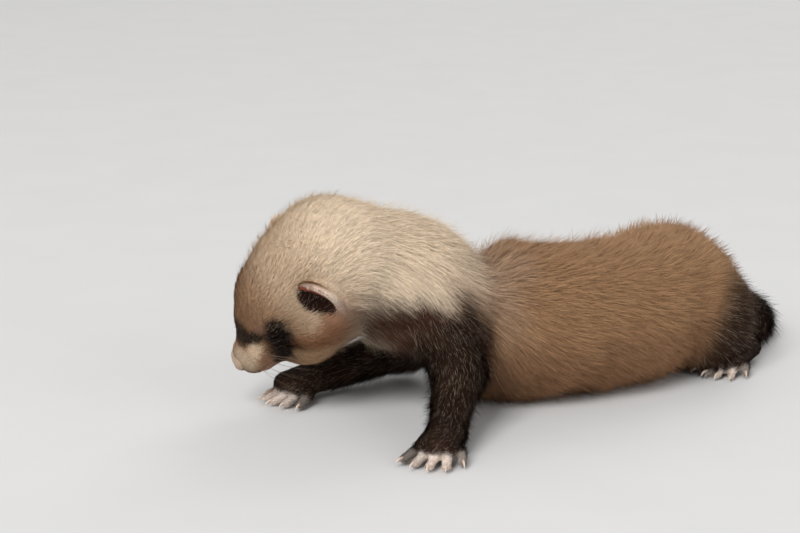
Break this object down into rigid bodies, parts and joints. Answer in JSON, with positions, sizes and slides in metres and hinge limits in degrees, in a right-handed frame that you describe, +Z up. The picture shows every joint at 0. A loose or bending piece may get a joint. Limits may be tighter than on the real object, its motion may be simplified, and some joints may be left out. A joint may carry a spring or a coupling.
{
  "type": "ferret kit",
  "caption": "Sleeping ferret kit at life size, lying on its belly with its neck arched, chin over one forepaw and tail tucked round.",
  "frame": {"origin": "on the floor, under the middle of the model's box", "axes": "+Z up, the head towards -X, the left side of the chest towards -Y"},
  "size_m": [0.178, 0.1722, 0.066],
  "materials": {
    "face_coat": "matt, short soft coat",
    "cream_coat": "matt, soft coat",
    "saddle_coat": "matt, soft coat with dark tips",
    "dark_coat": "short coat with a slight sheen",
    "ear_coat": "matt, thin pale hair over skin",
    "bare_skin": "smooth and slightly moist"
  },
  "bodies": {
    "root": {"head": "face_coat", "nose": "bare_skin", "ear_left": "ear_coat", "ear_right": "ear_coat", "neck": "cream_coat", "chest": "saddle_coat", "loin": "saddle_coat", "rump": "saddle_coat", "tail_base": "dark_coat", "tail_middle": "dark_coat", "tail_tip": "dark_coat", "upper_arm_left": "dark_coat", "forearm_left": "dark_coat", "forepaw_left": "dark_coat", "thigh_left": "dark_coat", "hind_foot_left": "dark_coat", "upper_arm_right": "dark_coat", "forearm_right": "dark_coat", "forepaw_right": "dark_coat", "thigh_right": "dark_coat", "hind_foot_right": "dark_coat"}
  },
  "joints": []
}
